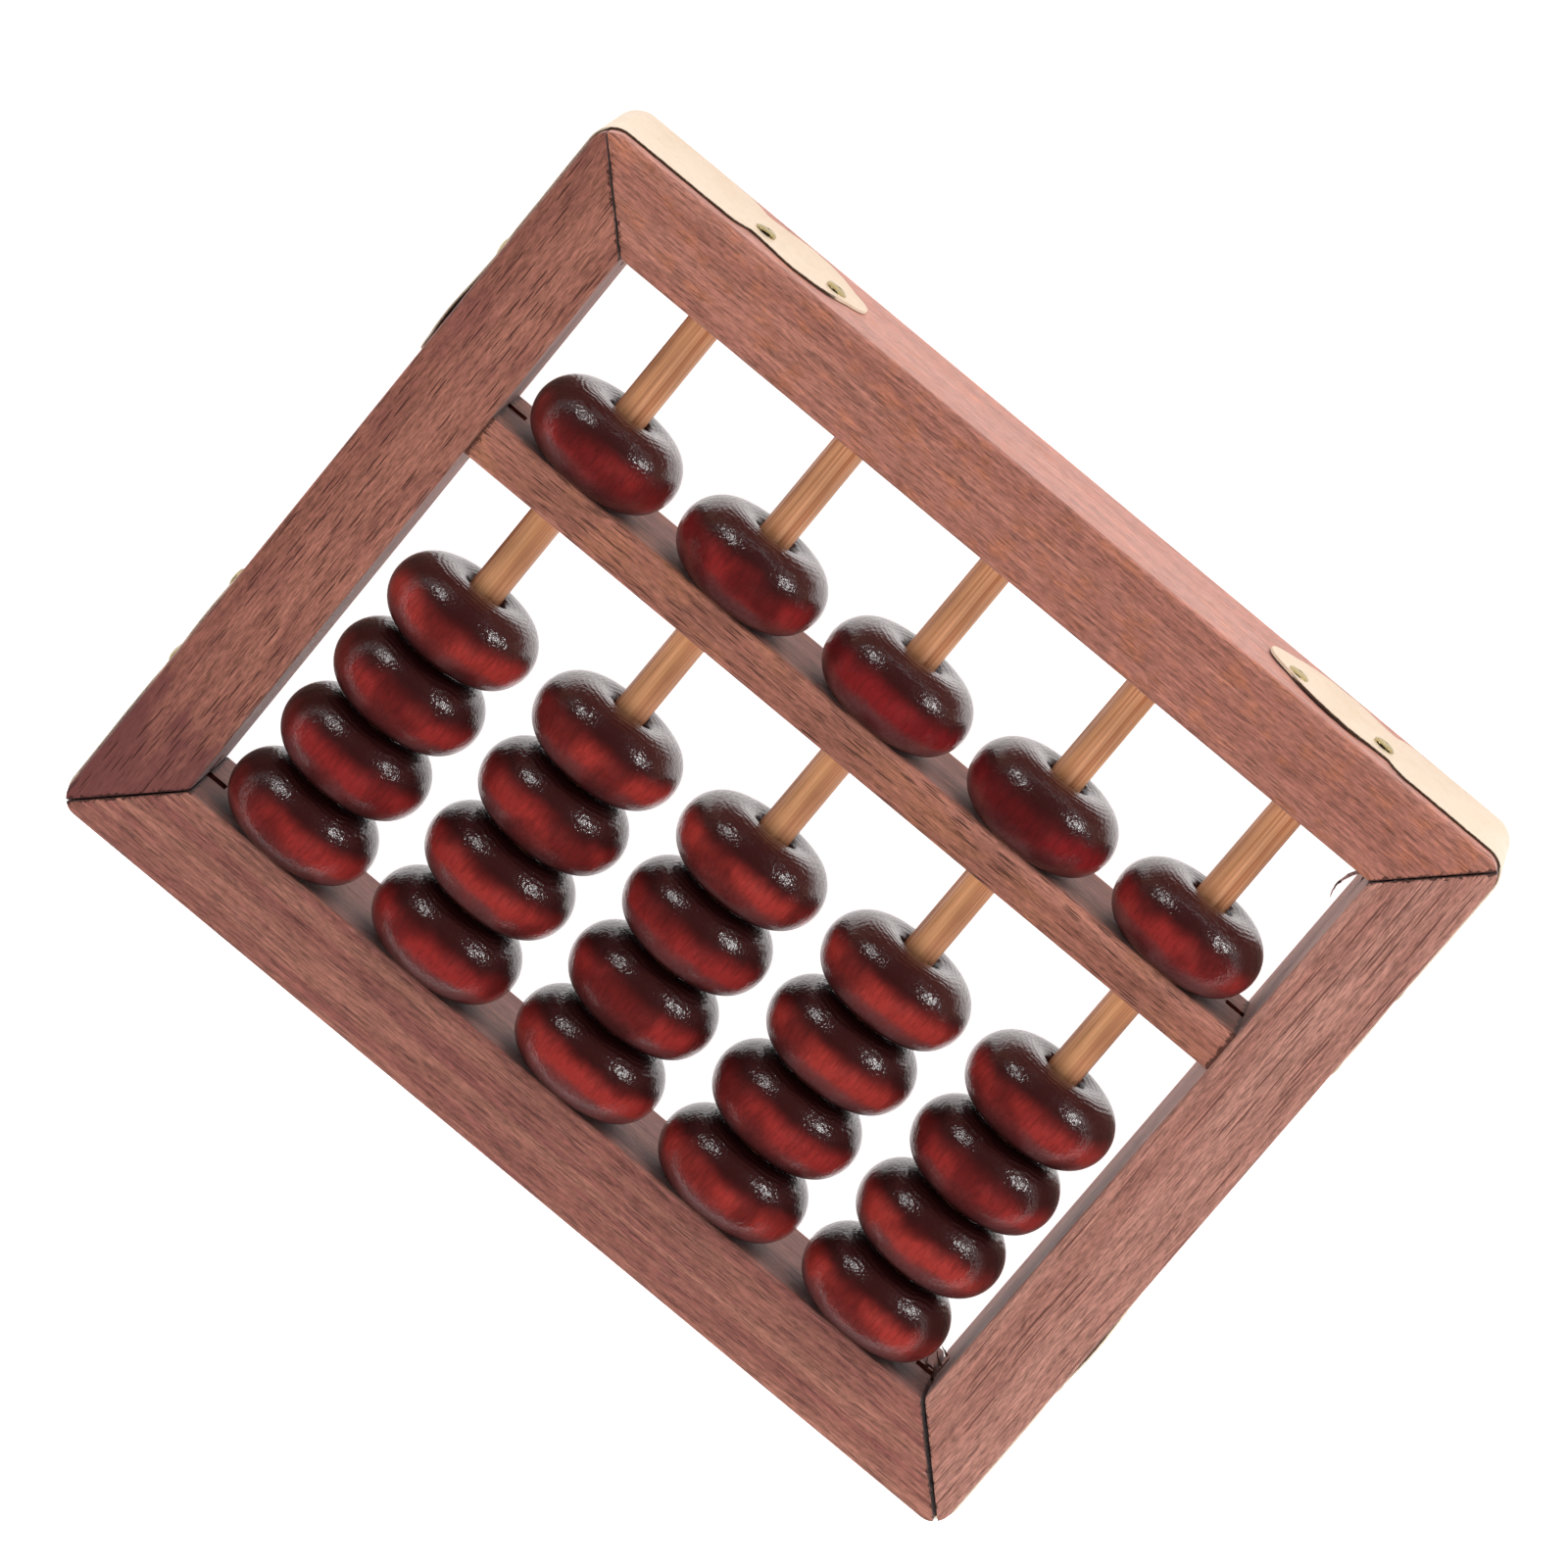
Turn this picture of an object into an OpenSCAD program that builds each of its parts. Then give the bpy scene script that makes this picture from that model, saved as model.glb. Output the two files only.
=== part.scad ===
// Small abacus: rods in a mitred wooden frame, each with one upper bead and a stack of lower beads.
// It lies on its back. +Z comes out of its face, +X runs from the first rod to the last, and +Y runs
// from the lower rail to the upper rail. The origin is the middle of the frame's underside.
// All sizes are in millimetres.

/* [Frame] */
// Number of rods
rod_count = 5; // [3:1:7]
// Distance from one rod's axis to the next
rod_pitch = 19; // [18:0.1:24]
// Distance from an outer rod's axis to the side rail beside it
side_room = 10.5; // [9.2:0.1:16]
// Width of a rail, seen from the face
rail_w = 9.8; // [8.5:0.1:14]
// Thickness of the frame, from its back to its face
frame_t = 19.2; // [18.6:0.1:24]
// Radius of the frame's outer corners, seen from the face
corner_r = 2.6; // [1.5:0.1:4]
// Rounding of each rail's outer front edge
edge_r = 0.5; // [0.4:0.1:2]
// Rounding of a rail's other long edges
arris_r = 0.4; // [0.2:0.1:0.8]

/* [Beam] */
// Width of the cross beam, seen from the face
beam_w = 4.7; // [4.5:0.1:8]
// Height of the beam's back above the frame's back
beam_back = 2.9; // [1:0.1:5]
// Depth of the beam's front below the frame's face
beam_front = 0.4; // [0.2:0.1:1]

/* [Rods] */
// Diameter of a bamboo rod
rod_d = 3.8; // [3:0.1:4.2]
// Height of the rods' axes above the underside
rod_z = 14.7; // [13.5:0.1:15]
// Depth of the blind holes that hold the rods' ends
rod_socket = 5; // [3:0.1:6]

/* [Beads] */
// Outer diameter of a bead
bead_d = 17.34; // [14:0.01:17.6]
// Thickness of a bead along its rod
bead_t = 8.74; // [7:0.01:8.8]
// Diameter of a bead's hole, loose on the rod
bead_hole_d = 4.9; // [4.8:0.1:6]
// Number of beads below the beam on each rod
lower_count = 4; // [3:1:5]
// Free travel of an upper bead
upper_travel = 11.9; // [8:0.1:16]
// Free travel of the lower beads on a rod
lower_travel = 9.9; // [8:0.1:16]
// Space between an end bead and the wood that it rests against
rest_gap = 0.12; // [0.1:0.01:0.3]
// Space between two stacked beads
stack_gap = 0.1; // [0.1:0.01:0.3]

/* [Brass straps] */
// Thickness of the corner straps
strap_t = 0.3; // [0.3:0.05:0.8]
// Distance from the frame's sharp outer corner to the tip of a strap's arm
strap_tip = 31.9; // [30:0.1:36]
// Half width of a strap at the corner's bend
bend_half = 7.6; // [7.4:0.1:8.4]
// Half width of an arm at the end of its wide part
shoulder_half = 7.4; // [7:0.1:7.4]
// Half width of the neck between the wide part and the leaf
neck_half = 5.6; // [4.5:0.1:6]
// Radius of the round leaf that ends an arm
leaf_r = 6.8; // [6.5:0.1:8]
// Radius of the small lobe at an arm's tip
lobe_r = 3.6; // [2.5:0.1:4.5]

/* [Nails] */
// Height of the nails above the straps' middle
nail_rise = 1.9; // [0:0.1:2]
// Diameter of a nail's domed head
head_d = 2.5; // [2:0.1:3]
// Height of the domed head
head_h = 0.6; // [0.4:0.1:0.9]
// Diameter of the shank
shank_d = 1; // [0.8:0.1:1.4]
// Length of the shank below the head
shank_l = 5; // [3:0.1:5]

/* [Joinery] */
// Width of the open line at a tight mitre
mitre_gap = 0.2; // [0.1:0.05:0.4]
// Width of the open line at the bottom right corner, where the joint has moved
worn_mitre_gap = 0.5; // [0.2:0.05:0.8]
// Thickness of the saw kerfs, and of the wooden splines and tongues in them
kerf_t = 1.8; // [1:0.1:2.4]
// Length of a kerf's open end along an inner face
kerf_run = 2.4; // [1:0.1:3]

/* [Hidden] */
$fn = 96;

upper_room = bead_t + upper_travel + 2 * rest_gap;
lower_stack = lower_count * bead_t + (lower_count - 1) * stack_gap;
lower_room = lower_stack + lower_travel + 2 * rest_gap;

// Half sizes of the opening and of the whole frame
in_x = (rod_count - 1) * rod_pitch / 2 + side_room;
in_y = (lower_room + beam_w + upper_room) / 2;
out_x = in_x + rail_w;
out_y = in_y + rail_w;

mid_z = frame_t / 2;
beam_low_y = -in_y + lower_room;
beam_high_y = beam_low_y + beam_w;
beam_t = frame_t - beam_back - beam_front;
crest_r = (bead_d - bead_t) / 2;
dome_r = (pow(head_d / 2, 2) + pow(head_h, 2)) / (2 * head_h);

// A kerf crosses each mitre behind the strap, measured outwards from the inner corner along the mitre
kerf_start = -kerf_run / sqrt(2);
kerf_end = 8;
kerf_half = 4.2;
spline_start = 0.9;

// A short tongue joins each end of the beam to the side rail
tongue_w = 2.4;
tongue_in_rail = 3;

// Outline of a strap's arm, measured from the frame's sharp outer corner
shoulder_at = 14;
shoulder_r = 3.2;
leaf_at = 23.6;
nails_at = [18, 28.2];

// Sides and corners are counted anticlockwise from the top rail and from the top right corner,
// so side s lies between corner s and corner s + 1
SIDES = ["top", "left", "bottom", "right"];
CORNERS = ["top_right", "top_left", "bottom_left", "bottom_right"];
ENDS = ["left", "right"];

function rod_x(r) = (r - (rod_count + 1) / 2) * rod_pitch;
function gap_at(c) = c == 3 ? worn_mitre_gap : mitre_gap;
function corner_x(c) = c == 0 || c == 3 ? 1 : -1;
function corner_y(c) = c < 2 ? 1 : -1;

// --- Placing ---

// The inner corner c, with +X outwards along the mitre
module at_inner_corner(c) {
    translate([corner_x(c) * in_x, corner_y(c) * in_y, 0]) rotate(45 + 90 * c) children();
}

// The sharp outer corner c, with the frame on the side of -X and -Y
module at_outer_corner(c) {
    translate([corner_x(c) * out_x, corner_y(c) * out_y, 0]) rotate(90 * c) children();
}

// Both arms of a corner: the child lies on the face along X and is repeated on the face along Y
module on_both_arms() {
    children();
    mirror([1, -1, 0]) children();
}

// --- Wooden frame ---

// Waste outside a rounded corner of radius r at the origin, where the solid fills +X and +Y
module corner_waste(r) {
    difference() {
        translate([-1, -1]) square(r + 1);
        translate([r, r]) circle(r);
    }
}

// Rectangle from the origin, with its own radius at each corner, anticlockwise from the origin
module rounded_rect(w, h, radii) {
    places = [[0, 0], [w, 0], [w, h], [0, h]];
    difference() {
        square([w, h]);
        for (i = [0 : 3]) translate(places[i]) rotate(90 * i) corner_waste(radii[i]);
    }
}

// Plan of a rail: inner_half is half the length of its inner face, which lies at y = 0
module mitred_plan(inner_half, low_gap, high_gap) {
    low = -inner_half + low_gap / sqrt(2);
    high = inner_half - high_gap / sqrt(2);
    w = rail_w + 1;
    polygon([[low + 1, -1], [high - 1, -1], [high + w, w], [low - w, w]]);
}

// Side s of the frame, before anything is cut into it
module rail_blank(s) {
    inner_half = s % 2 == 0 ? in_x : in_y;
    inner_y = s % 2 == 0 ? in_y : in_x;
    full_half = inner_half + rail_w;
    rotate(90 * s) translate([0, inner_y, 0]) intersection() {
        translate([-full_half, 0, 0]) rotate([90, 0, 90]) linear_extrude(2 * full_half)
            rounded_rect(rail_w, frame_t, [arris_r, arris_r, edge_r, arris_r]);
        translate([0, 0, -1]) linear_extrude(frame_t + 2)
            mitred_plan(inner_half, gap_at((s + 1) % 4), gap_at(s));
    }
}

// Slab at mid thickness on the mitre of corner c, from distance start to kerf_end
module mitre_slab(c, start) {
    at_inner_corner(c) translate([start, -kerf_half, mid_z - kerf_t / 2])
        cube([kerf_end - start, 2 * kerf_half, kerf_t]);
}

// Slab at mid thickness across one end of the beam, side -1 on the left or +1 on the right
module beam_end_slab(side, in_beam, w) {
    len = in_beam + tongue_in_rail;
    translate([side * (in_x + (tongue_in_rail - in_beam) / 2), (beam_low_y + beam_high_y) / 2, mid_z])
        cube([len, w, kerf_t], center = true);
}

module rod_bar(r) {
    translate([rod_x(r), in_y + rod_socket, rod_z]) rotate([90, 0, 0])
        cylinder(d = rod_d, h = 2 * (in_y + rod_socket));
}

module rail(s) {
    color("sienna") difference() {
        rail_blank(s);
        for (c = [s, (s + 1) % 4]) {
            at_outer_corner(c) rotate(180) translate([0, 0, -1])
                linear_extrude(frame_t + 2) corner_waste(corner_r);
            mitre_slab(c, kerf_start);
            at_nails(c) nail_shank();
        }
        if (s % 2 == 0) for (r = [1 : rod_count]) rod_bar(r);
        if (s % 2 == 1) beam_end_slab(s - 2, 0, tongue_w);
    }
}

module beam() {
    section = [beam_w, beam_t];
    color("peru") difference() {
        translate([-in_x, beam_low_y, beam_back]) rotate([90, 0, 90]) linear_extrude(2 * in_x)
            rounded_rect(section.x, section.y, [arris_r, arris_r, arris_r, arris_r]);
        for (r = [1 : rod_count]) rod_bar(r);
        for (side = [-1, 1]) beam_end_slab(side, kerf_run, beam_w + 2);
    }
}

module beam_tongue(side) {
    color("burlywood") beam_end_slab(side, kerf_run, tongue_w);
}

module mitre_spline(c) {
    color("burlywood") mitre_slab(c, spline_start);
}

// --- Brass straps and nails ---

// Flat shape of one arm, from the end of the bend to the tip
module arm_outline() {
    neck_l = leaf_at - shoulder_at;
    polygon([[corner_r, -bend_half], [shoulder_at, -shoulder_half],
        [shoulder_at, shoulder_half], [corner_r, bend_half]]);
    translate([shoulder_at - shoulder_r, -shoulder_half])
        rounded_rect(2 * shoulder_r, 2 * shoulder_half, [0.1, shoulder_r, shoulder_r, 0.1]);
    translate([shoulder_at, -neck_half]) square([neck_l, 2 * neck_half]);
    translate([leaf_at, 0]) circle(leaf_r);
    translate([strap_tip - lobe_r, 0]) circle(lobe_r);
}

module strap_arm() {
    mirror([1, 0, 0]) translate([0, strap_t, mid_z]) rotate([90, 0, 0]) linear_extrude(strap_t)
        difference() {
            arm_outline();
            for (u = nails_at) translate([u, nail_rise]) circle(d = shank_d);
        }
}

module strap_bend() {
    translate([-corner_r, -corner_r, mid_z - bend_half]) rotate_extrude(angle = 90)
        translate([corner_r, 0]) square([strap_t, 2 * bend_half]);
}

module strap(c) {
    color("gold") at_outer_corner(c) {
        on_both_arms() strap_arm();
        strap_bend();
    }
}

// The four nails of corner c, each with its head's underside at z = 0 and its head upwards
module at_nails(c) {
    at_outer_corner(c) on_both_arms()
        for (u = nails_at) translate([-u, strap_t, mid_z + nail_rise]) rotate([-90, 0, 0]) children();
}

module nail_shank() {
    translate([0, 0, -shank_l]) cylinder(d = shank_d, h = shank_l);
}

module nail() {
    nail_shank();
    rotate_extrude() intersection() {
        translate([0, head_h - dome_r]) circle(dome_r);
        square([head_d / 2, head_h]);
    }
}

module nails(c) {
    color("goldenrod") at_nails(c) nail();
}

// --- Rods and beads ---

module rod(r) {
    color("tan") rod_bar(r);
}

// Ring-shaped bead on rod r, with its middle at height y
module bead(r, y) {
    color("darkred") translate([rod_x(r), y, rod_z]) rotate([90, 0, 0])
        rotate_extrude() difference() {
            translate([crest_r, 0]) circle(bead_t / 2);
            translate([bead_hole_d / 2 - bead_t, -bead_t]) square([bead_t, 2 * bead_t]);
        }
}

// An upper bead rests against the beam
module upper_bead(r) {
    bead(r, beam_high_y + rest_gap + bead_t / 2);
}

// Lower beads are stacked on the lower rail, k counted from the rail
module lower_bead(r, k) {
    bead(r, -in_y + rest_gap + bead_t / 2 + (k - 1) * (bead_t + stack_gap));
}

// --- Nodes ---

for (s = [0 : 3])
    rail(s);
beam();
for (e = [0, 1])
    beam_tongue(2 * e - 1);
for (c = [0 : 3])
    mitre_spline(c);
for (c = [0 : 3])
    strap(c);
for (c = [0 : 3])
    nails(c);
for (r = [1 : rod_count])
    rod(r);
for (r = [1 : rod_count])
    upper_bead(r);
for (r = [1 : rod_count], k = [1 : lower_count])
    lower_bead(r, k);
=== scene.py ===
"""Looks of a small five-rod abacus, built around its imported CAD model.

Lengths are in metres unless a name or a comment says mm.
"""

import math

import bpy
import numpy as np
from mathutils import Matrix, Vector


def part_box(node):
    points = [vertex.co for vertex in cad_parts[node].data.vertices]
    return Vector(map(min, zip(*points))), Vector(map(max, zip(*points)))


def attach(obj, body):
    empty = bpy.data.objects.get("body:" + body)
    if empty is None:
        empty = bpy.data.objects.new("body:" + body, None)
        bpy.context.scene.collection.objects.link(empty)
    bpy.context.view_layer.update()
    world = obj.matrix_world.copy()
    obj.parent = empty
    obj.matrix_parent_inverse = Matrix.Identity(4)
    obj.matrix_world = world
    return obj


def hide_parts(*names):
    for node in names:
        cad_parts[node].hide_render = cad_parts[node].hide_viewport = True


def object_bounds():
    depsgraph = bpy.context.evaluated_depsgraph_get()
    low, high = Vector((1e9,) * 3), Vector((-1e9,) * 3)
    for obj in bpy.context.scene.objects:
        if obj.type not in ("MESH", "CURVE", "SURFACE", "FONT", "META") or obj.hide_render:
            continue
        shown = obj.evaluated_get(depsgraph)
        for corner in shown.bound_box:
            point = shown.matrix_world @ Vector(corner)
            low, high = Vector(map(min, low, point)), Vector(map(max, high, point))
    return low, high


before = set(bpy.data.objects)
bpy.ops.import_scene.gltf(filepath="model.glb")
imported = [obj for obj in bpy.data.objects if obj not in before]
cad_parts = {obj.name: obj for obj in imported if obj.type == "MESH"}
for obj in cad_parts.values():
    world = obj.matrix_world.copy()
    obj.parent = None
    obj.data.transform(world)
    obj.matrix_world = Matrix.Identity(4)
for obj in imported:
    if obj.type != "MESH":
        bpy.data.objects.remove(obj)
CAD_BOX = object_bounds()

MM = 0.001
FRAME_BODY = "frame"

# Camera: its place, its turns about the frame's Y, X and Z axes in degrees, its lens and sensor in mm
CAMERA_PLACE = (-0.01166, 0.2018, 0.8222)
CAMERA_YAW, CAMERA_TILT, CAMERA_ROLL = 0.653, 13.777, -39.872
CAMERA_LENS, CAMERA_SENSOR = 188.94, 36.0

CORNERS = ["top_right", "top_left", "bottom_left", "bottom_right"]
ROD_COUNT = sum(name.startswith("rod_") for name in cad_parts)
LOWER_COUNT = sum(name.startswith("lower_bead_1_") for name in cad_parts)

# Torn fibres in mm: root, bend, tip and width
SPLINTERS = [
    ((47.3, 35.9, 18.7), (45.6, 33.6, 19.2), (46.6, 31.7, 18.9), 0.46),
    ((52.7, -41.2, 18.7), (53.2, -41.4, 19.2), (53.9, -41.2, 19.2), 0.22),
    ((53.9, -42.1, 18.6), (54.6, -42.0, 19.2), (55.3, -42.2, 19.2), 0.25),
    ((55.8, -43.2, 18.5), (55.2, -42.8, 19.2), (54.9, -42.0, 19.1), 0.16),
    ((48.2, -34.3, 11.6), (47.0, -34.4, 12.2), (46.0, -34.0, 12.0), 0.34),
    ((48.4, -34.3, 9.2), (47.6, -33.9, 9.9), (46.9, -33.1, 9.4), 0.40),
    ((48.4, -35.1, 13.0), (47.9, -34.0, 13.6), (47.3, -33.2, 13.2), 0.30),
    ((47.5, -35.3, 10.2), (46.9, -34.8, 10.9), (46.6, -34.0, 10.4), 0.45),
    ((48.3, -33.6, 7.6), (47.9, -33.2, 8.2), (47.2, -33.0, 7.9), 0.30),
]

# Places read from the CAD frame
RAIL_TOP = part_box("rail_top")
RAIL_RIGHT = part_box("rail_right")
OUT_X, OUT_Y = RAIL_RIGHT[1].x, RAIL_TOP[1].y
IN_X, IN_Y = RAIL_RIGHT[0].x, RAIL_TOP[0].y
FACE_Z = RAIL_TOP[1].z
STRAP_Z = sum(corner.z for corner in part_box("strap_top_left")) / 2
NAIL_Z = sum(corner.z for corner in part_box("nails_top_left")) / 2
NAIL_RISE_MM = (NAIL_Z - STRAP_Z) / MM

# Turned beads: radius of the bore, rows along it as parts of its half length, and depths of wear, all in mm
BORE_R = 2.47
BORE_ROWS = (0.93, 0.5, 0.0, -0.5, -0.93)
BORE_RIM_ANGLE = 0.06
DENT, DEEPEST = 0.055, 0.16
GROOVE, GROOVES_PER_MM, GROOVES_FROM_ANGLE = 0.006, 9, 1.15
BEAD_AROUND, BEAD_ALONG = 128, 60

# Bamboo rods: number of flats, depth of the ridges in mm, and numbers of points
ROD_FLATS, RIDGE = 5, 0.012
ROD_AROUND, ROD_ROWS = 72, 40

# Outline of a strap's arm in mm, from the frame's sharp outer corner
BEND_R, BEND_HALF = 2.6, 7.6
SHOULDER_AT, SHOULDER_HALF, SHOULDER_R = 14.0, 7.4, 3.2
NECK_HALF = 5.6
LEAF_AT, LEAF_R = 23.6, 6.8
TIP_AT, LOBE_R = 31.9, 3.6
BLEND_POWER = 9

# Sheet of a strap in mm: thickness, unevenness of its edge and its face, and reach of a nail's pressure
SHEET = 0.3
EDGE_NICK, FACE_WAVE = 0.03, 0.018
NAIL_PRESS_R = 1.3
ARM_ROWS, BEND_ROWS, STRAP_COLS = 130, 14, 44

# Nail heads in mm, tapped flatter than the CAD's domes
NAILS_AT = (18.0, 28.2)
NAIL_R, NAIL_H, NAIL_TOP_R = 1.24, 0.42, 0.02
NAIL_FOOT, NAIL_GAP = -0.3, 0.04
NAIL_AROUND, NAIL_ROWS = 28, 9

# How each corner's strap differs from the common outline, in mm for its two arms: shift of the waist,
# shift of the waist's nail, and lift of the leaf
WAIST_SHIFTS = {"top_right": (-1.3, 0), "top_left": (0, 0.5), "bottom_left": (0, 0.3),
                "bottom_right": (0.4, 0)}
NAIL_SHIFTS = {"top_right": (-1.0, 0), "top_left": (0, 1.0), "bottom_left": (0, 0.2),
               "bottom_right": (0.3, 0)}
LEAF_LIFTS = {"top_right": (0.22, 0.05), "top_left": (0.35, 0.05), "bottom_left": (0.05, 0.05),
              "bottom_right": (0.3, 0.1)}


# ---------------------------------------------------------------- mesh helpers

def new_object(name, verts, faces, smooth=True):
    """A mesh object from vertices in metres and faces."""
    mesh = bpy.data.meshes.new(name)
    mesh.from_pydata([tuple(v) for v in verts], [], [tuple(f) for f in faces])
    mesh.validate()
    mesh.polygons.foreach_set("use_smooth", [smooth] * len(mesh.polygons))
    mesh.update()
    obj = bpy.data.objects.new(name, mesh)
    bpy.context.scene.collection.objects.link(obj)
    return obj


def wrapped_faces(rows, cols, close_rows):
    """Quads of a grid whose columns wrap round, and whose rows wrap round if close_rows."""
    faces = []
    for i in range(rows if close_rows else rows - 1):
        for j in range(cols):
            a, b = i * cols + j, i * cols + (j + 1) % cols
            c, d = ((i + 1) % rows) * cols + (j + 1) % cols, ((i + 1) % rows) * cols + j
            faces.append((a, b, c, d))
    return faces


def sheet_faces(rows, cols):
    """Faces of a thick sheet, whose inner grid of vertices follows its outer grid: its sides and its rim."""
    back = rows * cols
    sides, rim = [], []

    def add_rim(a, b, flip):
        quad = (a, b, back + b, back + a)
        rim.append(quad[::-1] if flip else quad)

    for i in range(rows - 1):
        for j in range(cols - 1):
            a, d = i * cols + j, (i + 1) * cols + j
            b, c = a + 1, d + 1
            sides.append((a, b, c, d))
            sides.append((back + d, back + c, back + b, back + a))
        for j in (0, cols - 1):
            add_rim(i * cols + j, (i + 1) * cols + j, flip=j > 0)
    for i in (0, rows - 1):
        for j in range(cols - 1):
            add_rim(i * cols + j, i * cols + j + 1, flip=i == 0)
    return sides, rim


def ripples(rng, counts, smallest, twist, around, along):
    """Sum of one random wave for each number of crests around, its size from smallest to 1."""
    total = 0
    for count in counts:
        size, phase, turn = rng.uniform(smallest, 1), rng.uniform(0, 6.3), rng.uniform(-twist, twist)
        total = total + size * np.cos(count * around + phase + turn * along)
    return total


def point_values(obj, name, values):
    """Gives every vertex a number, which a material reads by name."""
    obj.data.attributes.new(name, "FLOAT", "POINT").data.foreach_set("value", values)


def mark_sharp(obj, angle_deg):
    """Keeps edges sharper than an angle crisp on a smooth-shaded mesh."""
    obj.data.set_sharp_from_angle(angle=math.radians(angle_deg))


def piece(obj, body, slot, material, *stands_for):
    """Puts a finished piece on its CAD body, with its material and the CAD nodes that it stands for."""
    for m in material if isinstance(material, (list, tuple)) else [material]:
        obj.data.materials.append(m)
    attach(obj, body)
    if stands_for:
        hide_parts(*stands_for)
    return obj


# ---------------------------------------------------------------- material helpers

class Nodes:
    """Short calls that add shader nodes to one material."""

    def __init__(self, name):
        self.material = bpy.data.materials.new(name)
        self.material.use_nodes = True
        self.tree = self.material.node_tree
        self.tree.nodes.clear()
        out = self.tree.nodes.new("ShaderNodeOutputMaterial")
        self.shader = self.tree.nodes.new("ShaderNodeBsdfPrincipled")
        self.tree.links.new(self.shader.outputs[0], out.inputs["Surface"])

    def node(self, kind, **settings):
        made = self.tree.nodes.new("ShaderNode" + kind)
        for key, value in settings.items():
            setattr(made, key, value)
        return made

    def put(self, socket, value):
        """Links an output, or sets a plain value."""
        if isinstance(value, bpy.types.NodeSocket):
            self.tree.links.new(value, socket)
        else:
            socket.default_value = value

    def set(self, **inputs):
        for key, value in inputs.items():
            self.put(self.shader.inputs[key.replace("_", " ")], value)

    def math(self, op, a, b=0.0):
        n = self.node("Math", operation=op)
        self.put(n.inputs[0], a)
        self.put(n.inputs[1], b)
        return n.outputs[0]

    def object_mm(self):
        """Object coordinates in millimetres."""
        n = self.node("VectorMath", operation="SCALE")
        self.put(n.inputs[0], self.node("TexCoord").outputs["Object"])
        n.inputs["Scale"].default_value = 1 / MM
        return n.outputs[0]

    def stretch(self, vector, scale, shift=(0, 0, 0)):
        """Coordinates scaled along each axis, then shifted."""
        n = self.node("VectorMath", operation="MULTIPLY_ADD")
        for socket, value in zip(n.inputs, (vector, scale, shift)):
            self.put(socket, value)
        return n.outputs[0]

    def axes(self, vector):
        n = self.node("SeparateXYZ")
        self.put(n.inputs[0], vector)
        return n.outputs[0], n.outputs[1], n.outputs[2]

    def join(self, x, y, z):
        n = self.node("CombineXYZ")
        for socket, value in zip(n.inputs, (x, y, z)):
            self.put(socket, value)
        return n.outputs[0]

    def noise(self, vector, detail=2.0, rough=0.5):
        n = self.node("TexNoise")
        for key, value in (("Vector", vector), ("Scale", 1.0), ("Detail", detail), ("Roughness", rough)):
            self.put(n.inputs[key], value)
        return n.outputs["Fac"]

    def dots(self, vector):
        """Distance to the nearest scattered point, and a random value for that point."""
        n = self.node("TexVoronoi", feature="F1")
        self.put(n.inputs["Vector"], vector)
        self.put(n.inputs["Scale"], 1.0)
        return n.outputs["Distance"], self.axes(n.outputs["Color"])[0]

    def band(self, value, low, high, to_low=0.0, to_high=1.0, smooth=True):
        """Maps value from low..high to to_low..to_high."""
        n = self.node("MapRange", interpolation_type="SMOOTHSTEP" if smooth else "LINEAR")
        keys = ("Value", "From Min", "From Max", "To Min", "To Max")
        for key, v in zip(keys, (value, low, high, to_low, to_high)):
            self.put(n.inputs[key], v)
        return n.outputs["Result"]

    def mix(self, factor, a, b, mode="MIX"):
        n = self.node("Mix", data_type="RGBA", blend_type=mode)
        self.put(n.inputs["Factor"], factor)
        for socket, value in ((n.inputs[6], a), (n.inputs[7], b)):
            self.put(socket, (*value, 1.0) if isinstance(value, tuple) and len(value) == 3 else value)
        return n.outputs[2]

    def bump(self, height, distance_mm, strength):
        n = self.node("Bump")
        n.inputs["Strength"].default_value = strength
        n.inputs["Distance"].default_value = distance_mm * MM
        self.put(n.inputs["Height"], height)
        return n.outputs[0]


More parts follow.
